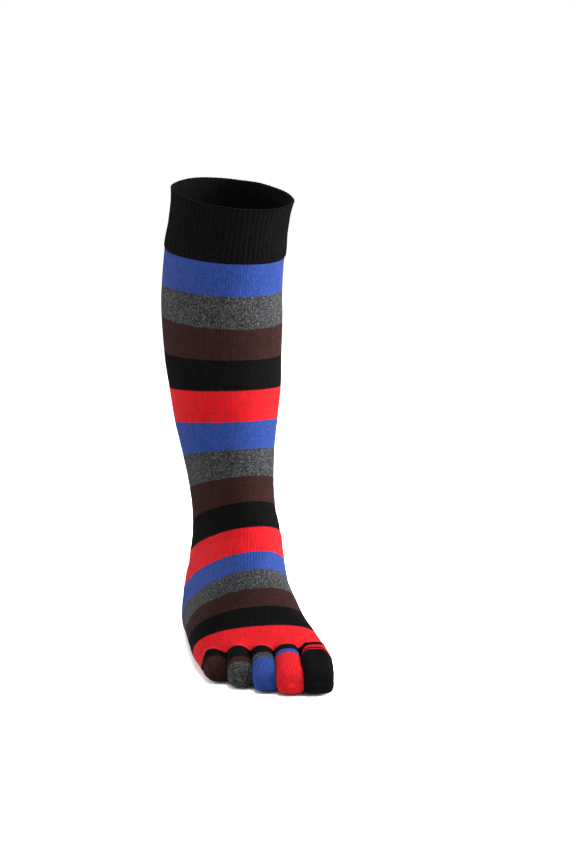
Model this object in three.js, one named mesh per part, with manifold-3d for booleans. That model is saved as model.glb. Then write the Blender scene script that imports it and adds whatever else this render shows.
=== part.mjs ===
// A knee-high toe sock for a right foot, in the form it has when worn.
// Millimetres, +Z up, sole on z = 0, toes towards -Y, big toe on the +X side.
// The knitted tube is one shell: its outline is a row of closed sections, one at each
// change of yarn, and each band of yarn is the stretch between two of them.
import * as THREE from 'three';
import { mergeVertices } from 'three/addons/utils/BufferGeometryUtils.js';
import Module from 'manifold-3d';

const wasm = await Module();
wasm.setup();

// Driving sizes
const sockHeight = 347; // floor to the middle of the cuff's mouth
const cuffHeight = 44.5;
const calfWidth = 93;
const calfDepth = 109.5;
const ankleHeight = 122.5; // floor to the narrowest section, at its middle
const ankleWidth = 63.5;
const ankleDepth = 80.5;
const footLength = 239; // heel to the tip of the big toe
const footWidth = 97.5; // across the ball of the foot
const toeHeight = 29; // top of the big toe above the floor
const toeTurn = 12; // degrees the toes lean towards the outer side of the foot
const bandGap = 0.3; // clearance between one band of yarn and the next
const knitWall = 1.8;
const cuffWall = 2.8;
const cuffProud = 0.8; // how far the cuff stands out from the leg below it
const ribCount = 72;
const ribDepth = 0.7;
const soleFlat = 3; // how much of each sole section is pressed flat on the floor

// Number of flat sides round the tube and round a toe
const tubeSides = 28;
const toeSides = 14;

// Leg sections from the mouth down to the ankle. at is the height above the ankle as a
// share of the leg between ankle and cuff; deep and wide run from the ankle's size (0)
// to the calf's (1); lean and tilt are shares of the section's depth, shift of its width.
// tilt is how much higher the back is than the front, turn is in degrees.
const legRows = [
  { at: 1.0, deep: 0.81, wide: 0.9, lean: 0.01, tilt: 0.207, shift: 0.033, turn: 8 },
  { at: 1.0, deep: 0.914, wide: 0.85, lean: 0.033, tilt: 0.126, shift: -0.032, turn: 8 },
  { at: 0.857, deep: 0.983, wide: 0.94, lean: 0.041, tilt: 0.087, shift: -0.043, turn: 8 },
  { at: 0.723, deep: 0.931, wide: 0.955, lean: 0.044, tilt: 0.093, shift: -0.046, turn: 7 },
  { at: 0.573, deep: 0.638, wide: 0.88, lean: 0.045, tilt: 0.03, shift: -0.047, turn: 7 },
  { at: 0.425, deep: 0.293, wide: 0.763, lean: 0.039, tilt: -0.04, shift: -0.035, turn: 6 },
  { at: 0.283, deep: 0.069, wide: 0.542, lean: 0.033, tilt: -0.085, shift: -0.028, turn: 5 },
  { at: 0.142, deep: -0.05, wide: 0.237, lean: 0.025, tilt: -0.196, shift: -0.011, turn: 4 },
];

// Foot sections from the ankle to the toes. topAt and soleAt are forward of the ankle, as
// shares of the foot's length; topRise and soleRise are shares of the ankle's height;
// spread runs from the ankle's width (0) to the ball's (1); shift and crest are shares of
// the foot's width, and crest is how far the ridge of the instep lies to the inner side.
const footRows = [
  { topAt: 0.164, topRise: 1.106, soleAt: -0.174, soleRise: 0.894, spread: 0, shift: 0.013,
    crest: 0.008, turn: 3, topPower: 2, solePower: 2 },
  { topAt: 0.18, topRise: 0.951, soleAt: -0.178, soleRise: 0.661, spread: -0.044, shift: 0.026,
    crest: 0.01, turn: 2, topPower: 2, solePower: 2 },
  { topAt: 0.215, topRise: 0.804, soleAt: -0.197, soleRise: 0.433, spread: 0.088, shift: 0.028,
    crest: 0.008, turn: 1, topPower: 2.1, solePower: 2.2 },
  { topAt: 0.276, topRise: 0.669, soleAt: -0.223, soleRise: 0.171, spread: 0.31, shift: -0.001,
    crest: 0.01, turn: 0, topPower: 2.2, solePower: 2.4 },
  { topAt: 0.332, topRise: 0.576, soleAt: -0.166, soleRise: 0, spread: 0.4, shift: -0.016,
    crest: 0.008, turn: 0, topPower: 2.3, solePower: 2.6 },
  { topAt: 0.371, topRise: 0.478, soleAt: 0, soleRise: 0, spread: 0.56, shift: -0.039,
    crest: 0.02, turn: 0, topPower: 2.3, solePower: 2.8 },
  { topAt: 0.395, topRise: 0.384, soleAt: 0.15, soleRise: 0, spread: 0.72, shift: -0.051,
    crest: 0.026, turn: -1, topPower: 2.3, solePower: 3 },
  { topAt: 0.427, topRise: 0.282, soleAt: 0.297, soleRise: 0, spread: 0.926, shift: -0.051,
    crest: 0.026, turn: -3, topPower: 2.4, solePower: 3 },
  { topAt: 0.512, topRise: 0.196, soleAt: 0.456, soleRise: 0, spread: 1.03, shift: -0.052,
    crest: 0.005, turn: -14, topPower: 2.5, solePower: 3 },
];

// The palm of the sock goes on a little between the roots of the toes and closes there.
const palmRows = [
  { topAt: 0.531, topRise: 0.18, soleAt: 0.49, soleRise: 0, spread: 0.74, shift: -0.056,
    crest: 0, turn: -17, topPower: 2.5, solePower: 3 },
  { topAt: 0.546, topRise: 0.145, soleAt: 0.529, soleRise: 0.033, spread: 0.38, shift: -0.1,
    crest: 0, turn: -19, topPower: 2.5, solePower: 2.5 },
];

// The toes lie side by side along lines that lean by toeTurn. across is where a toe's line
// lies, as a share of the foot's width, and width is a share of it too. baseEnd, ringEnd
// and tip are distances along the line as shares of the foot's length, height of the toes'.
const toes = [
  { name: 'little', across: -0.195, width: 0.168, height: 0.79, baseEnd: 0.525, ringEnd: 0.525,
    tip: 0.586, tipYarn: 'brown' },
  { name: 'fourth', across: -0.021, width: 0.174, height: 0.89, baseEnd: 0.571, ringEnd: 0.594,
    tip: 0.638, ringYarn: 'brown', tipYarn: 'grey' },
  { name: 'third', across: 0.147, width: 0.155, height: 0.92, baseEnd: 0.579, ringEnd: 0.603,
    tip: 0.69, ringYarn: 'grey', tipYarn: 'blue' },
  { name: 'second', across: 0.328, width: 0.197, height: 0.96, baseEnd: 0.571, ringEnd: 0.597,
    tip: 0.726, ringYarn: 'blue', tipYarn: 'red' },
  { name: 'big', across: 0.542, width: 0.222, height: 1, baseEnd: 0.573, ringEnd: 0.596,
    tip: 0.736, ringYarn: 'red', tipYarn: 'black' },
];
const toeRoot = 0.42; // where every toe's line starts, inside the palm, in foot lengths

// The outline that all toes share, from root (0) to tip (1): width as a share of the toe's
// width, top and sole as shares of its height.
const toeProfile = [
  { at: 0, width: 0.9, top: 0.85, sole: 0.2 },
  { at: 0.22, width: 0.94, top: 0.95, sole: 0.12 },
  { at: 0.44, width: 0.98, top: 1, sole: 0.04 },
  { at: 0.62, width: 1, top: 0.9, sole: 0 },
  { at: 0.78, width: 1, top: 0.79, sole: 0 },
  { at: 0.89, width: 0.95, top: 0.69, sole: 0.02 },
  { at: 0.96, width: 0.8, top: 0.59, sole: 0.08 },
  { at: 0.99, width: 0.55, top: 0.5, sole: 0.16 },
  { at: 1, width: 0.25, top: 0.41, sole: 0.24 },
];
const toePower = 2.7; // squareness of a toe's section

// Round the cuff's wall, from its lower edge up the outside, over the rim and down the
// inside. down runs from the mouth (0) to the lower edge (1), out from the inner face (0)
// to the outer one (1), and rib is the share of the ribs' depth.
const cuffProfile = [
  { down: 1, out: 0.75, rib: 0.3 },
  { down: 0.95, out: 1, rib: 1 },
  { down: 0.1, out: 1, rib: 1 },
  { down: 0.03, out: 1.15, rib: 0.6 },
  { down: -0.01, out: 0.6, rib: 0 },
  { down: 0.03, out: 0, rib: 0 },
  { down: 1, out: 0, rib: 0 },
];

// Yarns as they look from a step away
const yarns = {
  black: { color: 0x161616, roughness: 0.92 },
  blue: { color: 0x2f55b4, roughness: 0.9 },
  grey: { color: 0x565a5c, roughness: 0.95 },
  brown: { color: 0x3c2320, roughness: 0.93 },
  red: { color: 0xe52432, roughness: 0.88 },
};

function yarnMaterial(name) {
  return new THREE.MeshStandardMaterial({ ...yarns[name], metalness: 0 });
}

// A section in millimetres, worked out from one row of the leg's table
function legSection(row, isMouth) {
  const legLength = sockHeight - cuffHeight - ankleHeight;
  const height = isMouth ? sockHeight : ankleHeight + row.at * legLength;
  const depth = ankleDepth + row.deep * (calfDepth - ankleDepth);
  const width = ankleWidth + row.wide * (calfWidth - ankleWidth);
  const middle = row.lean * depth;
  return {
    frontY: middle - depth / 2,
    frontZ: height - (row.tilt * depth) / 2,
    backY: middle + depth / 2,
    backZ: height + (row.tilt * depth) / 2,
    centreX: row.shift * width,
    outer: width / 2,
    inner: width / 2,
    turn: row.turn,
    topPower: 2,
    solePower: 2,
  };
}

// The same from one row of the foot's table. Where the sole meets the floor the section
// reaches a little below it, and section() presses that part flat.
function footSection(row) {
  const width = ankleWidth + row.spread * (footWidth - ankleWidth);
  const crest = row.crest * footWidth;
  return {
    frontY: -row.topAt * footLength,
    frontZ: row.topRise * ankleHeight,
    backY: -row.soleAt * footLength,
    backZ: row.soleRise > 0 ? row.soleRise * ankleHeight : -soleFlat,
    centreX: row.shift * footWidth + crest,
    outer: width / 2 + crest,
    inner: width / 2 - crest,
    turn: row.turn,
    topPower: row.topPower,
    solePower: row.solePower,
  };
}

const mouth = legSection(legRows[0], true);
const tubeSections = [
  mouth,
  ...legRows.slice(1).map((row) => legSection(row, false)),
  ...footRows.map(footSection),
];
const palmSections = [tubeSections.at(-1), ...palmRows.map(footSection)];

// A smooth curve through the values at four rows, at share t between the middle two
function smoothBetween(before, from, to, after, t) {
  const slopeFrom = (to - before) / 2;
  const slopeTo = (after - from) / 2;
  const t2 = t * t;
  const t3 = t2 * t;
  return (
    (2 * t3 - 3 * t2 + 1) * from +
    (t3 - 2 * t2 + t) * slopeFrom +
    (3 * t2 - 2 * t3) * to +
    (t3 - t2) * slopeTo
  );
}

// The section at a place along a list of sections; whole numbers are the sections themselves
function sectionAt(sections, place) {
  const last = sections.length - 1;
  const index = Math.min(Math.max(Math.floor(place), 0), last - 1);
  const t = place - index;
  const rows = [-1, 0, 1, 2].map((step) => sections[Math.min(Math.max(index + step, 0), last)]);
  const result = {};
  for (const key of Object.keys(rows[1])) {
    result[key] = smoothBetween(rows[0][key], rows[1][key], rows[2][key], rows[3][key], t);
  }
  return result;
}

// Length from one section's middle to the next, along the tube
function lengthBetween(sections, from, to) {
  const a = sectionAt(sections, from);
  const b = sectionAt(sections, to);
  const stepY = (b.frontY + b.backY - a.frontY - a.backY) / 2;
  const stepZ = (b.frontZ + b.backZ - a.frontZ - a.backZ) / 2;
  return Math.hypot(stepY, stepZ);
}

// Rounded corner of a squarish curve: sign and power of a cosine or sine
function squared(value, power) {
  return Math.sign(value) * Math.abs(value) ** (2 / power);
}

// Points round a section, moved inwards by inset millimetres. inset may depend on the point.
function sectionRing(section, inset, sides) {
  const middleY = (section.frontY + section.backY) / 2;
  const middleZ = (section.frontZ + section.backZ) / 2;
  const half = new THREE.Vector2(section.frontY - middleY, section.frontZ - middleZ);
  const turn = new THREE.Matrix4().makeRotationZ(THREE.MathUtils.degToRad(section.turn));
  const ring = [];
  for (let i = 0; i < sides; i += 1) {
    const angle = (2 * Math.PI * i) / sides;
    const depthIn = typeof inset === 'function' ? inset(i) : inset;
    const side = Math.cos(angle) > 0 ? section.inner : section.outer;
    const power = Math.sin(angle) > 0 ? section.topPower : section.solePower;
    const across = squared(Math.cos(angle), power) * (side - depthIn);
    const along = squared(Math.sin(angle), power) * (1 - depthIn / half.length());
    const point = new THREE.Vector3(across, along * half.x, along * half.y).applyMatrix4(turn);
    point.x += section.centreX;
    point.y += middleY;
    point.z = Math.max(point.z + middleZ, depthIn);
    ring.push(point);
  }
  return ring;
}

// Joins rings of equal length into one closed body. A closed loop of rings is a hollow
// band; an open one is a solid with a flat cap on its first and last ring. Each four-sided
// face is split along its shorter diagonal, so that the ends of two neighbours match.
function ringsGeometry(rings, isLoop) {
  const sides = rings[0].length;
  const points = rings.flat();
  const faces = [];
  const joins = isLoop ? rings.length : rings.length - 1;
  for (let r = 0; r < joins; r += 1) {
    const next = (r + 1) % rings.length;
    for (let i = 0; i < sides; i += 1) {
      const j = (i + 1) % sides;
      const [a, b, c, d] = [r * sides + i, next * sides + i, next * sides + j, r * sides + j];
      if (points[a].distanceTo(points[c]) < points[b].distanceTo(points[d])) {
        faces.push(a, b, c, a, c, d);
      } else {
        faces.push(a, b, d, b, c, d);
      }
    }
  }
  if (!isLoop) {
    for (const end of [0, rings.length - 1]) {
      const centre = new THREE.Vector3();
      rings[end].forEach((point) => centre.addScaledVector(point, 1 / sides));
      points.push(centre);
      for (let i = 0; i < sides; i += 1) {
        const a = end * sides + i;
        const b = end * sides + ((i + 1) % sides);
        faces.push(points.length - 1, end === 0 ? a : b, end === 0 ? b : a);
      }
    }
  }
  return facingOut(points, faces);
}

// Builds the geometry and turns all its faces round if they enclose a negative volume
function facingOut(points, faces) {
  let volume = 0;
  for (let f = 0; f < faces.length; f += 3) {
    const [a, b, c] = [points[faces[f]], points[faces[f + 1]], points[faces[f + 2]]];
    volume += a.dot(new THREE.Vector3().crossVectors(b, c));
  }
  const ordered = volume < 0 ? faces.toReversed() : faces;
  const geometry = new THREE.BufferGeometry();
  geometry.setAttribute('position', new THREE.Float32BufferAttribute(points.flatMap((p) => p.toArray()), 3));
  geometry.setIndex(ordered);
  return geometry;
}

// A solid for joining and cutting, and the way back
function toSolid(geometry) {
  const merged = mergeVertices(geometry);
  return new wasm.Manifold(
    new wasm.Mesh({
      numProp: 3,
      vertProperties: new Float32Array(merged.attributes.position.array),
      triVerts: new Uint32Array(merged.index.array),
    }),
  );
}

function fromSolid(solid) {
  const mesh = solid.getMesh();
  const geometry = new THREE.BufferGeometry();
  geometry.setAttribute('position', new THREE.BufferAttribute(mesh.vertProperties, 3));
  geometry.setIndex(new THREE.BufferAttribute(mesh.triVerts, 1));
  return geometry;
}

const sock = new THREE.Group();

function addPiece(name, yarn, geometry) {
  const shaded = geometry.clone();
  shaded.computeVertexNormals();
  const piece = new THREE.Mesh(shaded, yarnMaterial(yarn));
  piece.name = name;
  sock.add(piece);
}

// A band of the tube between two sections, with half a gap left at each end
function tubeBand(index, steps) {
  const share = bandGap / 2 / lengthBetween(tubeSections, index, index + 1);
  const from = index + share;
  const to = index + 1 - share;
  const places = Array.from({ length: steps + 1 }, (_, k) => from + ((to - from) * k) / steps);
  const outside = places.map((place) => sectionRing(sectionAt(tubeSections, place), 0, tubeSides));
  const inside = places.map((place) => {
    return sectionRing(sectionAt(tubeSections, place), knitWall, tubeSides);
  });
  return ringsGeometry([...outside, ...inside.toReversed()], true);
}

// The ribbed cuff: two points to a rib, one on its crest and one in its groove
function cuffGeometry() {
  const share = bandGap / 2 / cuffHeight;
  const rings = cuffProfile.map((row) => {
    const place = row.down * (1 - share);
    const groove = row.rib * ribDepth;
    const inset = (i) => cuffWall * (1 - row.out) - cuffProud + (i % 2) * groove;
    return sectionRing(sectionAt(tubeSections, place), inset, 2 * ribCount);
  });
  return ringsGeometry(rings, true);
}

// Width, top and sole of the shared toe outline at a share of its length
function toeOutline(at) {
  const last = toeProfile.length - 1;
  let index = 0;
  while (index < last - 1 && toeProfile[index + 1].at < at) {
    index += 1;
  }
  const from = toeProfile[index];
  const to = toeProfile[index + 1];
  const t = (at - from.at) / (to.at - from.at);
  const mix = (key) => from[key] + t * (to[key] - from[key]);
  return { width: mix('width'), top: mix('top'), sole: mix('sole') };
}

const toeForward = new THREE.Vector2(
  -Math.sin(THREE.MathUtils.degToRad(toeTurn)),
  -Math.cos(THREE.MathUtils.degToRad(toeTurn)),
);
const toeSideways = new THREE.Vector2(-toeForward.y, toeForward.x);

// Points round a toe at a distance along its line, moved inwards by inset
function toeRing(toe, distance, inset) {
  const root = toeRoot * footLength;
  const tip = toe.tip * footLength - inset;
  const outline = toeOutline((distance - root) / (tip - root));
  const halfWidth = (outline.width * toe.width * footWidth) / 2 - inset * Math.min(1, outline.width * 2);
  const top = outline.top * toe.height * toeHeight - inset;
  const sole = outline.sole * toe.height * toeHeight + inset;
  const centre = toeForward.clone().multiplyScalar(distance);
  centre.addScaledVector(toeSideways, toe.across * footWidth);
  const ring = [];
  for (let i = 0; i < toeSides; i += 1) {
    const angle = (2 * Math.PI * (i + 0.5)) / toeSides;
    const across = squared(Math.cos(angle), toePower) * halfWidth;
    const up = squared(Math.sin(angle), toePower) * ((top - sole) / 2);
    ring.push(new THREE.Vector3(
      centre.x + toeSideways.x * across,
      centre.y + toeSideways.y * across,
      (top + sole) / 2 + up,
    ));
  }
  return ring;
}

// Rings of a toe between two distances, with the outline's own rows between them
function toeRings(toe, from, to, inset) {
  const root = toeRoot * footLength;
  const tip = toe.tip * footLength - inset;
  const rows = toeProfile.map((row) => root + row.at * (tip - root));
  const between = rows.filter((distance) => distance > from + knitWall / 2 && distance < to - knitWall / 2);
  return [from, ...between, to].map((distance) => toeRing(toe, distance, inset));
}

// A short sleeve of knit round a toe
function toeSleeve(toe, from, to) {
  const outside = toeRings(toe, from, to, 0);
  const inside = toeRings(toe, from, to, knitWall);
  return ringsGeometry([...outside, ...inside.toReversed()], true);
}

// The closed end of a toe: a solid out to the tip, hollowed by one that is smaller by the
// wall and starts behind it.
function toeEnd(toe, from) {
  const tip = toe.tip * footLength;
  const outside = toSolid(ringsGeometry(toeRings(toe, from, tip, 0), false));
  const inside = toSolid(ringsGeometry(toeRings(toe, from - knitWall, tip - knitWall, knitWall), false));
  return fromSolid(outside.subtract(inside));
}

// The black band at the roots of the toes: the end of the palm with a short sleeve for
// each toe, joined where the toes meet.
function toeBaseGeometry() {
  const last = palmSections.length - 1;
  const share = bandGap / 2 / lengthBetween(palmSections, 0, 1);
  const steps = 4;
  const places = Array.from({ length: steps + 1 }, (_, k) => share + ((last - share) * k) / steps);
  const palmRings = places.map((place) => sectionRing(sectionAt(palmSections, place), 0, tubeSides));
  let outside = toSolid(ringsGeometry(palmRings, false));

  const innerPlaces = [-0.2, ...places.slice(1, -1), last - knitWall / lengthBetween(palmSections, 1, 2)];
  const innerRings = innerPlaces.map((place) => {
    return sectionRing(sectionAt(palmSections, place), knitWall, tubeSides);
  });
  let inside = toSolid(ringsGeometry(innerRings, false));

  // Everything behind the palm's first section, so that no toe reaches back past it
  const widen = -footWidth;
  const behindPlaces = [tubeSections.length - 3, tubeSections.length - 1 + share];
  const behindRings = behindPlaces.map((place) => {
    return sectionRing(sectionAt(tubeSections, place), widen, tubeSides);
  });
  const behind = toSolid(ringsGeometry(behindRings, false));

  for (const toe of toes) {
    const root = toeRoot * footLength;
    const end = toe.baseEnd * footLength - bandGap / 2;
    const sleeve = toSolid(ringsGeometry(toeRings(toe, root, end, 0), false));
    outside = outside.add(sleeve.subtract(behind));
    inside = inside.add(toSolid(ringsGeometry(toeRings(toe, root, end + knitWall, knitWall), false)));
  }
  return fromSolid(outside.subtract(inside));
}

// Yarns of the bands from the cuff to the toes, three times round
const bandYarns = ['blue', 'grey', 'brown', 'black', 'red'];
const bandPlaces = ['calf', 'shin', 'foot'];
const bandSteps = [1, 1, 1, 1, 1, 1, 1, 2, 2, 3, 3, 4, 3, 2, 2];

addPiece('cuff', 'black', cuffGeometry());
bandPlaces.forEach((place, turnIndex) => {
  bandYarns.forEach((yarn, yarnIndex) => {
    const index = turnIndex * bandYarns.length + yarnIndex;
    addPiece(`${place}_band_${yarn}`, yarn, tubeBand(index + 1, bandSteps[index]));
  });
});
addPiece('toe_base_band', 'black', toeBaseGeometry());
for (const toe of toes) {
  const baseEnd = toe.baseEnd * footLength + bandGap / 2;
  const ringEnd = toe.ringEnd * footLength;
  if (toe.ringYarn) {
    addPiece(`${toe.name}_toe_ring`, toe.ringYarn, toeSleeve(toe, baseEnd, ringEnd - bandGap / 2));
  }
  addPiece(`${toe.name}_toe_tip`, toe.tipYarn, toeEnd(toe, Math.max(baseEnd, ringEnd + bandGap / 2)));
}

export default sock;
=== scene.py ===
import math

import bpy
from mathutils import Euler, Matrix, Vector, noise


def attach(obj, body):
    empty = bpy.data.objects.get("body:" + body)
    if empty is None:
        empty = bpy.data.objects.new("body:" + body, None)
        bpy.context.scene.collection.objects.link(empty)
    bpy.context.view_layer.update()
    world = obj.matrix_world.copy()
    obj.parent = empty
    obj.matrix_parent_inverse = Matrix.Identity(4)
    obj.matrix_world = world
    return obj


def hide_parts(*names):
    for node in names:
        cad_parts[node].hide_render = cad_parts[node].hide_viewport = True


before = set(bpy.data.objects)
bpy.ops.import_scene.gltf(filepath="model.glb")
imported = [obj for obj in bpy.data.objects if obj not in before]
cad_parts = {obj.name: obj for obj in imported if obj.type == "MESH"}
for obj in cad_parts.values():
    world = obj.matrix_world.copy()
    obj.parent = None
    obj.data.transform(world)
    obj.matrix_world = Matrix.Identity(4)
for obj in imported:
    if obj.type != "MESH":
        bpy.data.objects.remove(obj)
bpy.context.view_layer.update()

bl_info = {
    "name": "Toe Sock",
    "version": (1, 0, 0),
    "blender": (4, 5, 0),
    "location": "3D View > Sidebar > Toe Sock",
    "description": "Knits a striped knee-high toe sock around its packed frame",
    "category": "Add Mesh",
}

MM = 0.001

# Leg sections from the mouth down to the ankle. at is the height above the ankle as a
# share of the leg below the cuff; deep and wide run from the ankle's size (0) to the
# calf's (1); lean and tilt are shares of the depth, shift of the width, turn is degrees.
LEG_COLUMNS = ("at", "deep", "wide", "lean", "tilt", "shift", "turn")
LEG_ROWS = (
    (1.0, 0.81, 0.9, 0.01, 0.207, 0.033, 8),
    (1.0, 0.914, 0.85, 0.033, 0.126, -0.032, 8),
    (0.857, 0.983, 0.86, 0.041, 0.087, -0.0575, 8),
    (0.723, 0.931, 0.91, 0.044, 0.093, -0.0545, 7),
    (0.573, 0.638, 0.86, 0.045, 0.03, -0.0505, 7),
    (0.425, 0.293, 0.763, 0.039, -0.04, -0.035, 6),
    (0.283, 0.069, 0.542, 0.033, -0.085, -0.028, 5),
    (0.142, -0.05, 0.237, 0.025, -0.196, -0.011, 4),
)

# Foot sections from the ankle to the roots of the toes, then the palm's closing end.
# top_at and sole_at are forward of the ankle in foot lengths, the rises in ankle heights;
# spread runs from the ankle's width (0) to the ball's (1); shift and crest are shares of
# the foot's width, turn is degrees, and the powers say how square a section is.
FOOT_COLUMNS = ("top_at", "top_rise", "sole_at", "sole_rise", "spread", "shift", "crest",
                "turn", "top_power", "sole_power")
FOOT_ROWS = (
    (0.164, 1.106, -0.174, 0.894, 0, 0.013, 0.008, 3, 2, 2),
    (0.18, 0.951, -0.178, 0.661, -0.044, 0.026, 0.01, 2, 2, 2),
    (0.215, 0.804, -0.197, 0.433, 0.1, 0.033, 0.008, 1, 2.05, 2.2),
    (0.274, 0.675, -0.223, 0.15, 0.3, 0.01, 0.01, 0, 2.05, 2.3),
    (0.327, 0.588, -0.166, 0, 0.41, -0.019, 0.008, 0, 2.05, 2.4),
    (0.366, 0.488, 0, 0, 0.56, -0.039, 0.02, 0, 2.1, 2.6),
    (0.393, 0.389, 0.15, 0, 0.715, -0.05, 0.026, -1, 2.15, 2.7),
    (0.427, 0.282, 0.297, 0, 0.92, -0.05, 0.026, -3, 2.4, 2.8),
    (0.512, 0.196, 0.456, 0, 0.975, -0.053, 0.005, -14, 2.5, 2.5),
    (0.531, 0.18, 0.49, 0, 0.87, -0.082, 0, -17, 2.5, 2.6),
    (0.546, 0.145, 0.529, 0.033, 0.74, -0.093, 0, -19, 2.5, 2.5),
)

# Toes by name: place across the foot, width, the root's and the tip's share of it, how
# far the tip leans inwards and lifts off the floor, height, roundness above and below,
# distances of the root, the yarn changes and the tip, then the yarns of ring and tip.
TOE_COLUMNS = ("across", "width", "waist", "point", "lean", "curl", "height", "top_power",
               "sole_power", "arc", "base_end", "ring_end", "tip", "ring_yarn", "tip_yarn")
TOES = {
    "little": (-0.203, 0.186, 0.96, 0.82, 0.03, 0.06, 0.81, 2.4, 2.2,
               0.495, 0.525, 0.525, 0.562, None, "brown"),
    "fourth": (-0.025, 0.194, 0.97, 0.95, 0.016, 0.018, 0.9, 2.6, 2.6,
               0.517, 0.571, 0.594, 0.626, "brown", "grey"),
    "third": (0.15, 0.182, 0.97, 0.97, 0.01, 0.018, 0.925, 2.7, 2.9,
              0.538, 0.577, 0.603, 0.68, "grey", "blue"),
    "second": (0.333, 0.206, 0.97, 1, 0, 0.015, 0.96, 2.8, 3.1,
               0.544, 0.576, 0.597, 0.714, "blue", "red"),
    "big": (0.535, 0.238, 0.8, 0.93, -0.004, 0.02, 1.01, 3.5, 4,
            0.552, 0.57, 0.595, 0.722, "red", "black"),
}
TOE_ROOT = 0.42  # where every toe's line starts, inside the palm, in foot lengths
TOE_TURN = 12  # degrees that the toes' lines turn outwards

# Outline that the toes share: share of the length, width, top and sole.
TOE_COURSE_ROWS = (
    (0, 0.9, 0.85, 0.2),
    (0.22, 0.94, 0.95, 0.12),
    (0.44, 0.98, 1, 0.04),
    (0.62, 1, 0.9, 0),
    (0.78, 1, 0.79, 0),
    (0.89, 1, 0.69, 0.01),
    (0.96, 0.94, 0.59, 0.05),
    (0.99, 0.77, 0.5, 0.12),
    (1, 0.45, 0.41, 0.21),
)
# Where along a toe its waist, its point and its lift come in: start and run.
WAIST_RAMP = (0.55, 0.1)
POINT_RAMP = (0.72, 0.28)
LIFT_RAMP = (0.4, 0.5)

# The valleys between the toes: place across the foot and height in toe heights.
VALLEYS = ((-0.112, 0.63), (0.066, 0.755), (0.238, 0.785), (0.432, 0.8))
ARCH_POWER = 2.4  # how square the arch of the knit over a toe's root is
ARCH_CLEARANCE = 0.4 * MM

# Where the red ends and the black of the toes begins: place across the foot and
# distance, both along the toes' lines.
TOE_LINE = ((-0.33, 0.512), (-0.28, 0.496), (-0.21, 0.494), (-0.112, 0.511), (-0.022, 0.517),
            (0.066, 0.523), (0.15, 0.538), (0.238, 0.54), (0.333, 0.544), (0.432, 0.522),
            (0.53, 0.552), (0.6, 0.546), (0.65, 0.525), (0.7, 0.508))
SOLE_SHORTER = 0.04  # how much less far the red reaches on the sole, in foot lengths
SOLE_REACH = 0.45  # height up to which it does, in toe heights
COLUMNS_EVENED = 3  # neighbours on each side that even out where a column ends

# The ridges of the red over the toes' roots: their run, the height in the section where
# they start and how fast they rise, and how the knit sinks again past the line.
RIDGE_RUN = 17 * MM
RIDGE_RAMP = (0.2, 0.35)
RIDGE_BLEND = 1 * MM
SINK_DEPTH = 5 * MM
SINK_START = 1 * MM
SINK_RUN = 6 * MM

BAND_YARNS = ("blue", "grey", "brown", "black", "red")
BAND_PLACES = ("calf", "shin", "foot")
BANDS = [(place, yarn_name) for place in BAND_PLACES for yarn_name in BAND_YARNS]

# Places along the sections: where the first and the last band start, the knit ends, and
# the ankle puckers.
FIRST_BAND = 1
LAST_BAND = FIRST_BAND + len(BANDS) - 1
FOREFOOT_END = 18
ANKLE_PLACE = 10.3
ANKLE_SPREAD = 1.6

# How the worn knit stands off the form: depth, changes round and along, and an offset
# that makes one wave unlike the next.
SLOW_GIVE = (0.35 * MM, 1.3, 0.9, 0)
FINE_GIVE = (0.12 * MM, 4, 3, 9)
PUCKER = (0.7 * MM, 2.2, 4.5, 0)

COLUMNS_PER_WALE = 2
TUBE_RADIUS = 0.05
RUN_STEPS = 24
SMOOTH_ANGLE = 50
CUFF_SMOOTH_ANGLE = 60

# The teeth where two yarns meet, in courses, and how far they wander.
TOOTH = 0.28
TOE_TOOTH = 0.16
TOOTH_WANDER = 0.25 * MM

# The web between the toes: its courses, and how far it is pulled to the middle.
WEB_COURSES = 12
WEB_PULL = 0.07

# The toes' tubes: how far they stand off their form and bulge, the shortest and longest
# step between courses, and how the hidden end of a sleeve tapers inside the foot.
TOE_PROUD = 0.25 * MM
TOE_BULGE = 0.3 * MM
COURSE_STEPS = (0.06, 0.34)
SHORT_STEP = 0.03
SLEEVE_HIDDEN = 0.05
SLEEVE_TAPER = 0.6
TAPER_AHEAD = 0.4 * MM
STRIPED_RING = "big"
STRIPED_COURSE = 2

# The cuff's courses: down from the mouth as a share of its height, then in from its
# outer face as a share of its wall. They run up the outside, over the rim and down.
CUFF_EDGE = ((1.0, 0.62), (0.985, 0.3), (0.965, 0.1), (0.94, 0.0))
CUFF_RIM = ((0.022, -0.12), (0.004, -0.1), (-0.012, 0.05), (-0.018, 0.3), (-0.014, 0.55),
            (0.0, 0.8), (0.02, 0.95))
CUFF_INSIDE = ((0.05, 1.0), (0.2, 1.0), (0.5, 1.0), (0.8, 1.0), (1.0, 1.0))
CUFF_STEPS = 24
CUFF_RUN = 0.9  # share of the cuff's height between its edge and its rim
RIB_SHAPE = (0, 0.35, 1, 0.35)  # depth of the columns of one rib
RIM_WAVE = 1.6 * MM
CUFF_GIVE = 0.6  # share of the leg's give that the cuff follows

# Painted shade between two wales, as the share of the yarn's colour left there; how much single
# stitches differ, sheen and gloss of each yarn, then the pale and the dark flecks of a mixed one.
FINISHES_AND_PAINTED_SHADE = {
    "black": {"line": 0.5, "speckle": 0.25, "sheen": 0.003, "gloss": 0.01},
    "blue": {"line": 0.52, "speckle": 0.14, "sheen": 0.02, "gloss": 0.05},
    "grey": {"line": 0.6, "speckle": 0.2, "sheen": 0.015, "gloss": 0.05,
             "heather": ((0.05, 0.051, 0.054), (0.0062, 0.0067, 0.0077))},
    "brown": {"line": 0.55, "speckle": 0.16, "sheen": 0.004, "gloss": 0.02},
    "red": {"line": 0.5, "speckle": 0.1, "sheen": 0.02, "gloss": 0.06},
}
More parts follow.
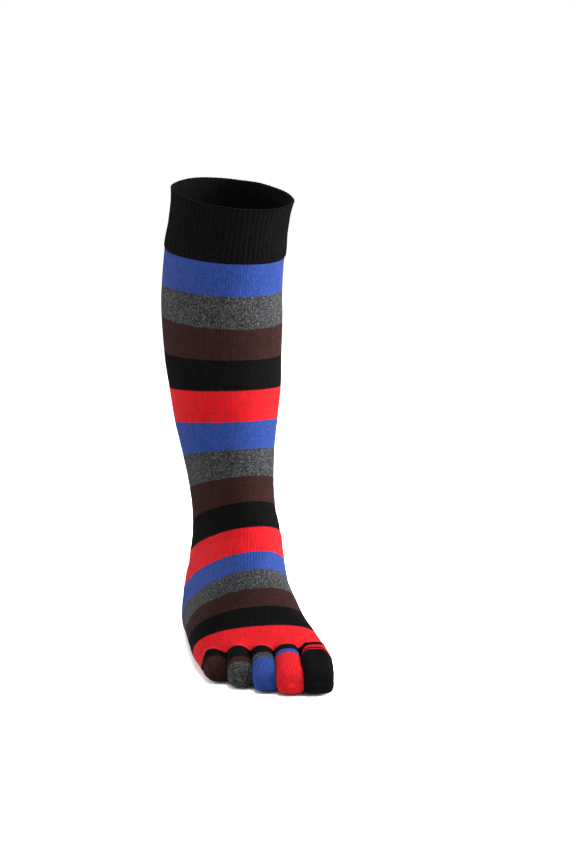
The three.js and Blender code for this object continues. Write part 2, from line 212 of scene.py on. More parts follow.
# Noise scales of the yarns, in changes per metre.
FIBRE_SCALE = 1500
CLOUD_SCALE = 45
PALE_FLECK_SCALE = 950
DARK_FLECK_SCALE = 720
STITCH_RELIEF = 0.4 * MM

FLOOR_SIZE = 12
PAPER_GRAIN = 90
LIGHT_SIZE = 1.2
LIGHT_AIM = (0, -0.03, 0.17)
LIGHTS = (
    ("key_light", (1.55, -0.55, 0.85), 138),
    ("rim_light", (-1.35, 0.9, 0.6), 24),
    ("top_light", (0.05, -0.45, 1.9), 45),
)
# The photo's viewing angle, in degrees: turned from +Y to +X, and looking down.
CAMERA_PLACE = (-0.4032, -1.4679, 0.3923)
CAMERA_TURN = 17.0434
CAMERA_DROP = 8.55
CAMERA_LENS = 82.87


# Sizes and colours that a user would change

def length(name, description, default):
    return bpy.props.FloatProperty(
        name=name, description=description, default=default, min=0, unit="LENGTH")


def yarn(name, default):
    return bpy.props.FloatVectorProperty(
        name=name, description=f"Colour of the {name.lower()} yarn", default=default,
        size=3, min=0, max=1, subtype="COLOR")


class SockSizes(bpy.types.PropertyGroup):
    sock_height: length("Sock height", "Floor to the middle of the cuff's mouth", 0.347)
    cuff_height: length("Cuff height", "Height of the ribbed cuff", 0.0445)
    calf_width: length("Calf width", "Widest part of the leg, from side to side", 0.093)
    calf_depth: length("Calf depth", "Widest part of the leg, from front to back", 0.1095)
    ankle_height: length("Ankle height", "Floor to the narrowest section", 0.1225)
    ankle_width: length("Ankle width", "Narrowest section, from side to side", 0.0635)
    ankle_depth: length("Ankle depth", "Narrowest section, from front to back", 0.0805)
    foot_length: length("Foot length", "Heel to the tip of the big toe", 0.239)
    foot_width: length("Foot width", "Across the ball of the foot", 0.0975)
    toe_height: length("Toe height", "Top of the big toe above the floor", 0.029)
    sole_flat: length("Sole flat", "How much of the sole is pressed flat", 0.003)
    knit_wall: length("Knit thickness", "Thickness of the plain knit", 0.0018)
    cuff_wall: length("Cuff thickness", "Thickness of the doubled cuff", 0.0028)
    cuff_proud: length("Cuff step", "How far the cuff stands out from the leg", 0.0008)
    cuff_grip: length("Cuff grip", "How far the cuff draws in at its middle", 0.0012)
    rib_depth: length("Rib depth", "Depth of the grooves between the ribs", 0.0008)
    wale_depth: length("Wale depth", "Depth of the lines between the wales", 0.00022)
    course: length("Course height", "Height of one course of stitches", 0.0016)
    wales: bpy.props.IntProperty(
        name="Wales", description="Columns of stitches round the leg", default=144, min=12)
    toe_wales: bpy.props.IntProperty(
        name="Toe wales", description="Columns of stitches round a toe", default=32, min=8)
    ribs: bpy.props.IntProperty(
        name="Ribs", description="Ribs round the cuff", default=72, min=12)


class SockYarns(bpy.types.PropertyGroup):
    black: yarn("Black", (0.0022, 0.0022, 0.0021))
    blue: yarn("Blue", (0.0103, 0.0254, 0.1135))
    grey: yarn("Grey", (0.0165, 0.0165, 0.017))
    brown: yarn("Brown", (0.0151, 0.0058, 0.0051))
    red: yarn("Red", (0.275, 0.003, 0.0056))


def sizes():
    return bpy.context.scene.sock_sizes


# Curves and tables

def smooth_step(x):
    x = min(max(x, 0), 1)
    return x * x * (3 - 2 * x)


def ramp(at, start, run):
    """Rises smoothly from 0 at start to 1 a run later."""
    return smooth_step((at - start) / run)


def smooth_row(rows, place):
    """The row at a place along a table, on a smooth curve through its rows."""
    last = len(rows) - 1
    index = min(max(int(math.floor(place)), 0), last - 1)
    t = place - index
    before, start, end, after = (rows[min(max(index + k, 0), last)] for k in (-1, 0, 1, 2))
    a = 2 * t ** 3 - 3 * t ** 2 + 1
    b = t ** 3 - 2 * t ** 2 + t
    c = 3 * t ** 2 - 2 * t ** 3
    d = t ** 3 - t ** 2
    return [a * p1 + b * (p2 - p0) / 2 + c * p2 + d * (p3 - p1) / 2
            for p0, p1, p2, p3 in zip(before, start, end, after)]


def squared(value, power):
    """A sine or cosine, changed so that a round outline becomes a squarer one."""
    return math.copysign(abs(value) ** (2 / power), value)


def place_where(is_before, low, high, halvings):
    """The place between low and high up to which is_before holds."""
    for _ in range(halvings):
        middle = (low + high) / 2
        if is_before(middle):
            low = middle
        else:
            high = middle
    return low


def even_angles(point_at, columns):
    """The angles of the columns, evenly spaced along each quarter of an outline."""
    steps = 24
    angles = []
    for quarter in range(4):
        fine = [(quarter + (1 - math.cos(math.pi * k / steps)) / 2) * math.pi / 2
                for k in range(steps + 1)]
        points = [point_at(angle) for angle in fine]
        run = [0.0]
        for a, b in zip(points, points[1:]):
            run.append(run[-1] + (b - a).length)
        k = 0
        for column in range(columns // 4):
            wanted = run[-1] * column / (columns // 4)
            while run[k + 1] < wanted:
                k += 1
            share = (wanted - run[k]) / max(run[k + 1] - run[k], 1e-9)
            angles.append(fine[k] + share * (fine[k + 1] - fine[k]))
    return angles


# The form of the leg and foot that the knit is pulled over

def leg_section(row, is_mouth):
    s = sizes()
    r = dict(zip(LEG_COLUMNS, row))
    leg = s.sock_height - s.cuff_height - s.ankle_height
    height = s.sock_height if is_mouth else s.ankle_height + r["at"] * leg
    depth = s.ankle_depth + r["deep"] * (s.calf_depth - s.ankle_depth)
    width = s.ankle_width + r["wide"] * (s.calf_width - s.ankle_width)
    middle = r["lean"] * depth
    rise = r["tilt"] * depth / 2
    return (middle - depth / 2, height - rise, middle + depth / 2, height + rise,
            r["shift"] * width, width / 2, width / 2, r["turn"], 2, 2)


def foot_section(row):
    s = sizes()
    r = dict(zip(FOOT_COLUMNS, row))
    width = s.ankle_width + r["spread"] * (s.foot_width - s.ankle_width)
    crest = r["crest"] * s.foot_width
    sole = r["sole_rise"] * s.ankle_height if r["sole_rise"] > 0 else -s.sole_flat
    return (-r["top_at"] * s.foot_length, r["top_rise"] * s.ankle_height,
            -r["sole_at"] * s.foot_length, sole,
            r["shift"] * s.foot_width + crest, width / 2 + crest, width / 2 - crest,
            r["turn"], r["top_power"], r["sole_power"])


def sock_sections():
    leg = [leg_section(row, index == 0) for index, row in enumerate(LEG_ROWS)]
    return leg + [foot_section(row) for row in FOOT_ROWS]


def section_point(section, angle, inset):
    """A point on a section, inset metres inside its outline."""
    (front_y, front_z, back_y, back_z, centre_x, outer, inner, turn,
     top_power, sole_power) = section
    middle_y, middle_z = (front_y + back_y) / 2, (front_z + back_z) / 2
    half_y, half_z = front_y - middle_y, front_z - middle_z
    side = inner if math.cos(angle) > 0 else outer
    power = top_power if math.sin(angle) > 0 else sole_power
    across = squared(math.cos(angle), power) * (side - inset)
    along = squared(math.sin(angle), power) * (1 - inset / math.hypot(half_y, half_z))
    cos, sin = math.cos(math.radians(turn)), math.sin(math.radians(turn))
    y = along * half_y
    return Vector((centre_x + across * cos - y * sin, middle_y + across * sin + y * cos,
                   max(middle_z + along * half_z, inset, 0)))


def middle_of(section):
    return Vector((section[4], (section[0] + section[2]) / 2, (section[1] + section[3]) / 2))


def front_of(section):
    return Vector((section[4], section[0], section[1]))


def run_between(sections, start, end):
    """Length of the knit between two places, along its front or its middle."""
    rows = [smooth_row(sections, start + (end - start) * k / RUN_STEPS)
            for k in range(RUN_STEPS + 1)]
    paths = [front_of(row) for row in rows], [middle_of(row) for row in rows]
    return max(sum((b - a).length for a, b in zip(path, path[1:])) for path in paths)


def ring_angles(sections, place, columns):
    section = smooth_row(sections, place)
    return even_angles(lambda angle: section_point(section, angle, 0), columns)


def wave(settings, place, angle):
    depth, changes_round, changes_along, offset = settings
    return depth * noise.noise(Vector((
        math.cos(angle) * changes_round, math.sin(angle) * changes_round,
        place * changes_along + offset)))


def give(place, angle):
    """How far the worn knit stands off the form, in metres."""
    at_ankle = math.exp(-((place - ANKLE_PLACE) / ANKLE_SPREAD) ** 2)
    return (wave(SLOW_GIVE, place, angle) + wave(FINE_GIVE, place, angle)
            + wave(PUCKER, place, angle) * at_ankle)


# The form of the toes

def toe_forward():
    return Vector((-math.sin(math.radians(TOE_TURN)), -math.cos(math.radians(TOE_TURN)), 0))


def toe_sideways():
    return Vector((math.cos(math.radians(TOE_TURN)), -math.sin(math.radians(TOE_TURN)), 0))


def toe_named(name):
    return dict(zip(TOE_COLUMNS, TOES[name]), name=name)


def toe_row(toe, place):
    """Distance, half width, top and sole of a toe at a place in the shared outline."""
    s = sizes()
    at, width, top, sole = smooth_row(TOE_COURSE_ROWS, place)
    root, tip = TOE_ROOT * s.foot_length, toe["tip"] * s.foot_length
    height = toe["height"] * s.toe_height
    width *= toe["waist"] + (1 - toe["waist"]) * ramp(at, *WAIST_RAMP)
    width *= 1 - (1 - toe["point"]) * ramp(at, *POINT_RAMP)
    lift = toe["curl"] * ramp(at, *LIFT_RAMP)
    return (root + at * (tip - root), width * toe["width"] * s.foot_width / 2,
            top * height, (max(sole, 0) + lift) * height)


def toe_place(toe, distance):
    """The place in the shared outline that lies at a distance along the toe's line."""
    return place_where(lambda place: toe_row(toe, place)[0] < distance,
                       0, len(TOE_COURSE_ROWS) - 1, 30)


def toe_centre(toe, distance):
    s = sizes()
    root, tip = TOE_ROOT * s.foot_length, toe["tip"] * s.foot_length
    share = toe["across"] + toe["lean"] * max(0, (distance - root) / (tip - root)) ** 2
    return toe_forward() * distance + toe_sideways() * share * s.foot_width


def toe_point(toe, place, angle, inset):
    distance, half_width, top, sole = toe_row(toe, place)
    centre = toe_centre(toe, distance)
    power = toe["top_power"] if math.sin(angle) > 0 else toe["sole_power"]
    across = squared(math.cos(angle), power) * (half_width - inset)
    up = squared(math.sin(angle), power) * ((top - sole) / 2 - inset)
    point = centre + toe_sideways() * across
    point.z = max((top + sole) / 2 + up, 0)
    return point


# Where the foot's knit meets the toes

def front_height(offset):
    """Height of the knit along the line where the toes begin: an arch over each toe,
    with a valley between two of them."""
    s = sizes()
    across = offset / s.foot_width
    for index, name in enumerate(TOES):
        toe = toe_named(name)
        if index < len(VALLEYS) and across > VALLEYS[index][0]:
            continue
        _, half_width, top, sole = toe_row(toe, toe_place(toe, toe["arc"] * s.foot_length))
        share = (offset - toe["across"] * s.foot_width) / half_width
        is_outer = share < 0 if index == 0 else share > 0 and index == len(VALLEYS)
        if is_outer:
            power = toe["top_power"]
            arch = max(0, 1 - abs(share) ** power) ** (1 / power)
            return (top + sole) / 2 + (top - sole) / 2 * arch + ARCH_CLEARANCE
        side, low = VALLEYS[index - 1] if share < 0 else VALLEYS[index]
        t = min(abs((across - toe["across"]) / (side - toe["across"])), 1)
        rise = top + ARCH_CLEARANCE - low * s.toe_height
        return low * s.toe_height + rise * (1 - t ** ARCH_POWER)


def crest_line(offset):
    """How far forward the crests of the toes' roots lie at a place across the foot."""
    s = sizes()
    across = offset / s.foot_width
    crests = [(toe_named(name)["across"], toe_named(name)["arc"]) for name in TOES]
    across = min(max(across, crests[0][0]), crests[-1][0])
    for (from_at, from_far), (to_at, to_far) in zip(crests, crests[1:]):
        if across <= to_at:
            t = (across - from_at) / (to_at - from_at)
            return (from_far + t * (to_far - from_far)) * s.foot_length


def toe_line(offset, height):
    """How far forward the red reaches at a place across the foot. It reaches less far
    on the sole."""
    s = sizes()
    across = min(max(offset / s.foot_width, TOE_LINE[0][0]), TOE_LINE[-1][0])
    sole = SOLE_SHORTER * (1 - smooth_step(height / (SOLE_REACH * s.toe_height)))
    for (from_at, from_far), (to_at, to_far) in zip(TOE_LINE, TOE_LINE[1:]):
        if across <= to_at:
            t = smooth_step((across - from_at) / (to_at - from_at))
            return (from_far + t * (to_far - from_far) - sole) * s.foot_length


def lift_over_toes(point, share):
    """How far a point of the forefoot is lifted towards the roots of the toes, where the
    knit runs in soft ridges. Past them it sinks inside the toes. share is the point's
    height in its section, from 0 at the sides to 1 at the top."""
    offset = point.dot(toe_sideways())
    forward = point.dot(toe_forward())
    past = forward - toe_line(offset, point.z)
    near = 1 + (forward - crest_line(offset)) / RIDGE_RUN
    reach = smooth_step(near) * ramp(share, *RIDGE_RAMP)
    rise = front_height(offset) - point.z
    if rise < RIDGE_BLEND:
        rise = (rise + RIDGE_BLEND) ** 2 / (4 * RIDGE_BLEND) if rise > -RIDGE_BLEND else 0
    return reach * (rise - SINK_DEPTH * ramp(past, SINK_START, SINK_RUN))


def red_end(sections, angle):
    """The place along the sections where one column of the red ends."""
    def is_red(place):
        point = section_point(smooth_row(sections, place), angle, 0)
        return point.dot(toe_forward()) < toe_line(point.dot(toe_sideways()), point.z)

    return place_where(is_red, LAST_BAND + 0.3, FOREFOOT_END - 0.05, 24)


def forefoot_ends(sections, columns):
    """The places where the columns of the red end, each evened out with its neighbours."""
    angles = ring_angles(sections, LAST_BAND + 1, columns)
    ends = [red_end(sections, angle) for angle in angles]
    beside = range(-COLUMNS_EVENED, COLUMNS_EVENED + 1)
    return [sum(ends[(column + step) % columns] for step in beside) / len(beside)
            for column in range(columns)]


# Knitting

def start_fresh():
    if bpy.context.object and bpy.context.object.mode != "OBJECT":
        bpy.ops.object.mode_set(mode="OBJECT")
    bpy.ops.object.select_all(action="DESELECT")


def knit_straight(name, columns, courses, closes=False):
    """Knits a straight tube: one ring, extruded a course at a time. A tube that closes
    ends in a pole."""
    start_fresh()
    bpy.ops.mesh.primitive_circle_add(vertices=columns, radius=TUBE_RADIUS)
    tube = bpy.context.object
    tube.name = name
    tube.data.name = name
    bpy.ops.object.mode_set(mode="EDIT")
    for _ in range(courses + closes):
        bpy.ops.mesh.extrude_region_move(TRANSFORM_OT_translate={"value": (0, 0, sizes().course)})
    if closes:
        bpy.ops.mesh.merge(type="CENTER")
    bpy.ops.mesh.select_all(action="SELECT")
    bpy.ops.mesh.normals_make_consistent(inside=False)
    bpy.ops.object.mode_set(mode="OBJECT")
    return tube


def pull_over(tube, columns, shape, first_course=0):
    """Pulls a straight tube over its form. shape gives the point for a column and a
    course, and the map that the stitches follow is kept from the straight tube."""
    mesh = tube.data
    course = sizes().course
    places = []
    for vertex in mesh.vertices:
        x, y, z = vertex.co
        column = round(math.atan2(y, x) / (2 * math.pi) * columns) % columns
        places.append((column, round(z / course), math.hypot(x, y) < MM))
    stitches = mesh.uv_layers.new(name="knit")
    for face in mesh.polygons:
        on_ring = [places[mesh.loops[i].vertex_index] for i in face.loop_indices]
        ring_columns = [column for column, _, is_pole in on_ring if not is_pole]
        wraps = max(ring_columns) - min(ring_columns) > columns / 2
        for i, (column, row, is_pole) in zip(face.loop_indices, on_ring):
            if is_pole:
                column = max(ring_columns) - 0.5
            elif wraps and column < columns / 2:
                column += columns
            stitches.data[i].uv = (column / COLUMNS_PER_WALE, row + first_course)
    for vertex, (column, row, is_pole) in zip(mesh.vertices, places):
        vertex.co = shape(column, row, is_pole)
    mesh.update()


def give_thickness(tube, wall):
    solid = tube.modifiers.new("wall", "SOLIDIFY")
    solid.thickness = wall
    solid.offset = -1
    start_fresh()
    tube.select_set(True)
    bpy.context.view_layer.objects.active = tube
    bpy.ops.object.modifier_apply(modifier=solid.name)
    bpy.ops.object.shade_smooth_by_angle(angle=math.radians(SMOOTH_ANGLE))


def finish_piece(piece, material, slot, *nodes):
    piece.data.materials.clear()
    piece.data.materials.append(material)
    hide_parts(*nodes)
    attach(piece, "root")


def tooth(column, place):
    """The last course of a yarn is a row of small teeth, none quite like the next."""
    if place == FIRST_BAND:
        return 0
    slant = TOOTH if column % 2 else -TOOTH
    wander = TOOTH_WANDER * noise.noise(Vector((column * 0.9, place, 0)))
    return slant * sizes().course + wander


def knit_point(sections, place, angle, column):
    section = smooth_row(sections, place)
    off = give(place, angle)
    point = section_point(section, angle, (sizes().wale_depth if column % 2 else 0) - off)
    if place > LAST_BAND - 0.5:
        share = squared(math.sin(angle), section[8])
        point.z += lift_over_toes(section_point(section, angle, -off), share)
    return point


def knit_band(name, yarn_name, start, end, first_course):
    """One band of yarn. The last one ends along the roots of the toes."""
    s = sizes()
    sections = sock_sections()
    columns = COLUMNS_PER_WALE * s.wales
    ends = forefoot_ends(sections, columns) if end == FOREFOOT_END else [end] * columns
    far = sum(ends) / columns
    run = run_between(sections, start, far)
    courses = max(8, round(run / s.course))
    band = knit_straight("knit_" + name, columns, courses)
    per_place = run / (far - start)
    angles = [ring_angles(sections, start + (far - start) * row / courses, columns)
              for row in range(courses + 1)]

    def shape(column, row, _):
        place = start + (ends[column] - start) * row / courses
        if row in (0, courses):
            place += tooth(column, start if row == 0 else end) / per_place
        return knit_point(sections, place, angles[row][column], column)

    pull_over(band, columns, shape, first_course)
    give_thickness(band, s.knit_wall)
    finish_piece(band, sock_material(yarn_name), f"{yarn_name}_knit", name)
    return courses


def knit_web():
    """The end of the foot between the toes, closed in a pole."""
    s = sizes()
    sections = sock_sections()
    columns = COLUMNS_PER_WALE * s.wales
    starts = forefoot_ends(sections, columns)
    near = sum(starts) / columns
    web = knit_straight("toe_web", columns, WEB_COURSES, closes=True)
    angles = [ring_angles(sections, near + (FOREFOOT_END - near) * row / WEB_COURSES, columns)
              for row in range(WEB_COURSES + 1)]

    def shape(column, row, is_pole):
        if is_pole:
            return middle_of(smooth_row(sections, FOREFOOT_END))
        place = starts[column] + (FOREFOOT_END - starts[column]) * row / WEB_COURSES
        if row == 0:
            per_place = run_between(sections, LAST_BAND, LAST_BAND + 1)
            place += tooth(column, FOREFOOT_END) / per_place
        point = knit_point(sections, place, angles[row][column], column)
        middle = middle_of(smooth_row(sections, place)).dot(toe_sideways())
        pull = WEB_PULL * smooth_step(1.5 * row / WEB_COURSES)
        return point - toe_sideways() * pull * (point.dot(toe_sideways()) - middle)

    pull_over(web, columns, shape)
    give_thickness(web, s.knit_wall)
    return web


def toe_courses(toe, start, end):
    """The places of a toe's courses, about one course height apart."""
    probe = 0.05
    shortest, longest = COURSE_STEPS
    places = [start]
    while places[-1] < end - 1e-6:
        at = places[-1]
        speed = (toe_row(toe, min(at + probe, end))[0] - toe_row(toe, at)[0]) / probe
        step = min(max(sizes().course / max(speed, 1e-6), shortest), longest)
        places.append(min(at + step, end))
    if len(places) > 2 and places[-1] - places[-2] < SHORT_STEP:
        del places[-2]
    return places


def knit_toe_tube(name, toe, start, end, starts_hidden=False):
    """A stretch of a toe between two places in the shared outline. One that reaches the
    last row closes in the tip."""
    s = sizes()
    closes = end >= len(TOE_COURSE_ROWS) - 1
    columns = COLUMNS_PER_WALE * s.toe_wales
    places = toe_courses(toe, start, end)
    courses = len(places) - 1
    tube = knit_straight(name, columns, courses, closes=closes)
    angles = even_angles(lambda angle: toe_point(toe, (start + end) / 2, angle, 0), columns)

    def shape(column, row, is_pole):
        if is_pole:
            distance, _, top, sole = toe_row(toe, end)
            point = toe_centre(toe, distance + 0.3 * MM)
            point.z = (top + sole) / 2
            return point
        place = places[row]
        if row in (0, courses) and not (closes and row == courses):
            speed = (toe_row(toe, place)[0] - toe_row(toe, place - 0.1)[0]) / 0.1
            place += (TOE_TOOTH if column % 2 else -TOE_TOOTH) * s.course / speed
        groove = s.wale_depth if column % 2 else 0
        bulge = TOE_BULGE * noise.noise(Vector((column * 0.11, place * 0.8, toe["across"] * 40)))
        inset = groove - TOE_PROUD - bulge
        if starts_hidden:
            point = toe_point(toe, place, angles[column], 0)
            line = toe_line(point.dot(toe_sideways()), point.z)
            behind = line - point.dot(toe_forward())
            inset += SLEEVE_TAPER * max(0, behind + TAPER_AHEAD)
        return toe_point(toe, place, angles[column], inset)

    pull_over(tube, columns, shape)
    give_thickness(tube, s.knit_wall)
    return tube


def stripe_course(piece, material, course):
    """Knits one course of a piece in another yarn."""
    piece.data.materials.append(material)
    stitches = piece.data.uv_layers["knit"].data
    for face in piece.data.polygons:
        rows = [stitches[i].uv.y for i in face.loop_indices]
        if course < sum(rows) / len(rows) < course + 1:
            face.material_index = 1


# Yarns

class Pattern:
    """Adds the nodes of one yarn to a material, one small step at a time."""

    def __init__(self, name):
        self.material = bpy.data.materials.new(name)
        self.material.use_nodes = True
        self.tree = self.material.node_tree
        self.shader = self.tree.nodes["Principled BSDF"]

    def node(self, kind, inputs=(), **settings):
        node = self.tree.nodes.new(kind)
        for key, value in settings.items():
            setattr(node, key, value)
        for key, value in dict(inputs).items():
            self.plug(value, node.inputs[key])
        return node

    def plug(self, value, socket):
        if isinstance(value, bpy.types.NodeSocket):
            self.tree.links.new(value, socket)
        else:
            socket.default_value = value

    def math(self, operation, a, b=0.0):
        return self.node("ShaderNodeMath", {0: a, 1: b}, operation=operation).outputs[0]

    def range(self, value, low, high, to_low, to_high):
        node = self.node("ShaderNodeMapRange", {
            "Value": value, "From Min": low, "From Max": high, "To Min": to_low,
            "To Max": to_high}, interpolation_type="SMOOTHSTEP")
        return node.outputs["Result"]

    def mix(self, kind, share, a, b):
        node = self.node("ShaderNodeMix", data_type="RGBA", blend_type=kind)
        self.plug(share, node.inputs[0])
        self.plug(a, node.inputs[6])
        self.plug(b, node.inputs[7])
        return node.outputs[2]

    def vector(self, x, y):
        return self.node("ShaderNodeCombineXYZ", {0: x, 1: y}).outputs[0]

    def noise(self, vector, scale, detail=2.0):
        node = self.node("ShaderNodeTexNoise", {
            "Vector": vector, "Scale": scale, "Detail": detail, "Roughness": 0.6})
        return node.outputs["Fac"]

    def chance(self, vector):
        return self.node("ShaderNodeTexWhiteNoise", {"Vector": vector}).outputs["Value"]


def knit_material(name, colour, line, speckle, sheen, gloss, heather=None):
    """Plain knit. line is the painted shade between two wales, the share of the colour left
    there, speckle how much single stitches differ, heather the second and third colour of a
    mixed yarn."""
    p = Pattern(name)
    stitches = p.node("ShaderNodeUVMap", uv_map="knit").outputs["UV"]
    split = p.node("ShaderNodeSeparateXYZ", {0: stitches})
    wale, course = split.outputs[0], split.outputs[1]
    body = p.node("ShaderNodeTexCoord").outputs["Object"]

    # Each stitch is a V: two legs that lean out from the middle of the wale
    across = p.math("FRACT", wale)
    off_middle = p.math("ABSOLUTE", p.math("SUBTRACT", p.math("MULTIPLY", across, 2), 1))
    leaning = p.math("SUBTRACT", course, p.math("MULTIPLY", off_middle, 0.55))
    legs = p.math("ABSOLUTE", p.math("SINE", p.math("MULTIPLY", across, 2 * math.pi)))
    loops = p.math("ABSOLUTE", p.math("SINE", p.math("MULTIPLY", leaning, math.pi)))
    stitch = p.math("MULTIPLY", p.math("POWER", legs, 0.6), p.range(loops, 0, 1, 0.45, 1))

    fibre = p.noise(body, FIBRE_SCALE, 4.0)
    cloud = p.noise(body, CLOUD_SCALE)
    along = p.vector(p.math("MULTIPLY", wale, 0.35), p.math("MULTIPLY", course, 0.08))
    stretch = p.noise(along, 1.0)
    cell = p.vector(p.math("FLOOR", p.math("MULTIPLY", wale, 2)), p.math("FLOOR", leaning))
    luck = p.chance(cell)

    # Painted shade: the colour is darkened in the grooves between the wales, down to line.
    shade_and_tone = p.range(off_middle, 0.62, 1.0, 1, line)
    # Painted shade and light of the stitches: darker in the gaps between their legs and loops, a
    # little lighter on them.
    shade_and_tone = p.math("MULTIPLY", shade_and_tone, p.range(stitch, 0, 0.8, 0.72, 1.06))
    # The yarn's own random tone: single stitches, fibres, clouds and streaks.
    shade_and_tone = p.math("MULTIPLY", shade_and_tone, p.range(luck, 0, 1, 1 - speckle, 1 + speckle))
    shade_and_tone = p.math("MULTIPLY", shade_and_tone, p.range(fibre, 0.3, 0.7, 1 - speckle, 1 + speckle))
    shade_and_tone = p.math("MULTIPLY", shade_and_tone, p.range(cloud, 0.3, 0.7, 0.93, 1.07))
    shade_and_tone = p.math("MULTIPLY", shade_and_tone, p.range(stretch, 0.3, 0.7, 0.94, 1.06))

    base = (*colour, 1)
    if heather:
        pale, dark = heather
        flecks = p.noise(body, PALE_FLECK_SCALE)
        base = p.mix("MIX", p.range(flecks, 0.46, 0.64, 0, 1), base, (*pale, 1))
        streaks = p.noise(body, DARK_FLECK_SCALE)
        base = p.mix("MIX", p.range(streaks, 0.46, 0.62, 0, 0.9), base, (*dark, 1))
    # The painted shade and the yarn's random tone, as a grey that darkens its colour.
    shade_and_tone_grey = p.node("ShaderNodeCombineColor", {0: shade_and_tone, 1: shade_and_tone, 2: shade_and_tone}).outputs[0]
    p.plug(p.mix("MULTIPLY", 1.0, base, shade_and_tone_grey), p.shader.inputs["Base Color"])

    rough = p.math("ADD", p.range(stitch, 0, 1, 0.98, 0.84), p.range(fibre, 0.3, 0.7, -0.04, 0.04))
    p.plug(rough, p.shader.inputs["Roughness"])
    p.shader.inputs["Specular IOR Level"].default_value = gloss
    p.shader.inputs["Sheen Weight"].default_value = sheen
    p.shader.inputs["Sheen Roughness"].default_value = 0.4
    p.shader.inputs["Sheen Tint"].default_value = (*[min(1, 0.4 + c) for c in colour], 1)
    height = p.math("ADD", stitch, p.math("MULTIPLY", fibre, 0.5))
    bump = p.node("ShaderNodeBump", {"Height": height, "Strength": 0.8, "Distance": STITCH_RELIEF})
    p.plug(bump.outputs["Normal"], p.shader.inputs["Normal"])
    return p.material


def sock_material(yarn_name, use="knit"):
    """The material of a yarn, made when it is first asked for."""
    name = f"sock_{yarn_name}_{use}"
    if name in bpy.data.materials:
        return bpy.data.materials[name]
    colour = tuple(getattr(bpy.context.scene.sock_yarns, yarn_name))
    return knit_material(name, colour, **FINISHES_AND_PAINTED_SHADE[yarn_name])


# Stage

def paper_material():
    paper = Pattern("studio_paper")
    paper.shader.inputs["Base Color"].default_value = (1, 1, 1, 1)
    paper.shader.inputs["Specular IOR Level"].default_value = 0
    paper.shader.inputs["Roughness"].default_value = 0.9
    grain = paper.noise(paper.node("ShaderNodeTexCoord").outputs["Object"], PAPER_GRAIN)
    bump = paper.node("ShaderNodeBump", {"Height": grain, "Strength": 0.05, "Distance": 0.2 * MM})
    paper.plug(bump.outputs["Normal"], paper.shader.inputs["Normal"])
    return paper.material


def add_light(name, place, power):
    lamp = bpy.data.lights.new(name, "AREA")
    lamp.size = LIGHT_SIZE
    lamp.energy = power
    light = bpy.data.objects.new(name, lamp)
    bpy.context.collection.objects.link(light)
    aim = Vector(LIGHT_AIM) - Vector(place)
    light.matrix_world = Matrix.Translation(place) @ aim.to_track_quat("-Z", "Y").to_matrix().to_4x4()


def add_camera():
    camera = bpy.data.objects.new("photo_camera", bpy.data.cameras.new("photo_camera"))
    bpy.context.collection.objects.link(camera)
    turn = Euler((math.radians(90 - CAMERA_DROP), 0, -math.radians(CAMERA_TURN)))
    camera.matrix_world = Matrix.Translation(CAMERA_PLACE) @ turn.to_matrix().to_4x4()
    camera.data.lens = CAMERA_LENS
    camera.data.sensor_width = 36
    camera.data.clip_start = 0.05
    bpy.context.scene.camera = camera


# Operators

class KnitCuff(bpy.types.Operator):
    """Knits the doubled, ribbed cuff with its rolled rim"""
    bl_idname = "toe_sock.cuff"
    bl_label = "Knit cuff"

    def execute(self, context):
        s = sizes()
        sections = sock_sections()
        columns = len(RIB_SHAPE) * s.ribs
        edge = CUFF_EDGE[-1][0]
        outside = list(CUFF_EDGE)
        outside += [(edge - CUFF_RUN * k / CUFF_STEPS, 0.0) for k in range(1, CUFF_STEPS + 1)]
        rows = outside + list(CUFF_RIM + CUFF_INSIDE)
        cuff = knit_straight("ribbed_cuff", columns, len(rows) - 1)

        def shape(column, row, _):
            down, depth = rows[row]
            angle = 2 * math.pi * column / columns
            lift = RIM_WAVE * noise.noise(Vector((math.cos(angle) * 2, math.sin(angle) * 2, 3)))
            place = down + (lift / s.cuff_height) * smooth_step(1 - down * 3)
            fade = 1 if row < len(outside) else max(0, 1 - 1.6 * depth)
            fade *= smooth_step((1 - down) / 0.05 + 0.35)
            groove = RIB_SHAPE[column % len(RIB_SHAPE)] * s.rib_depth * fade
            grip = smooth_step(place / 0.35) - smooth_step((place - 0.55) / 0.35)
            inset = depth * s.cuff_wall - s.cuff_proud + groove + grip * s.cuff_grip
            inset -= CUFF_GIVE * give(place, angle)
            return section_point(smooth_row(sections, place), angle, inset)

        pull_over(cuff, columns, shape)
        bpy.ops.object.mode_set(mode="EDIT")
        bpy.ops.mesh.select_all(action="DESELECT")
        bpy.ops.mesh.select_mode(type="EDGE")
        bpy.ops.mesh.select_non_manifold()
        bpy.ops.mesh.bridge_edge_loops()
        bpy.ops.mesh.select_all(action="SELECT")
        bpy.ops.object.mode_set(mode="OBJECT")
        bpy.ops.object.shade_smooth_by_angle(angle=math.radians(CUFF_SMOOTH_ANGLE))
        finish_piece(cuff, sock_material("black", "rib"), "black_rib", "cuff")
        return {"FINISHED"}


class KnitBands(bpy.types.Operator):
    """Knits the fifteen bands of yarn from the cuff to the toes"""
    bl_idname = "toe_sock.bands"
    bl_label = "Knit bands"

    def execute(self, context):
        first_course = 0
        for start, (place, yarn_name) in enumerate(BANDS, FIRST_BAND):
            end = FOREFOOT_END if start == LAST_BAND else start + 1
            name = f"{place}_band_{yarn_name}"
            first_course += knit_band(name, yarn_name, start, end, first_course)
        return {"FINISHED"}


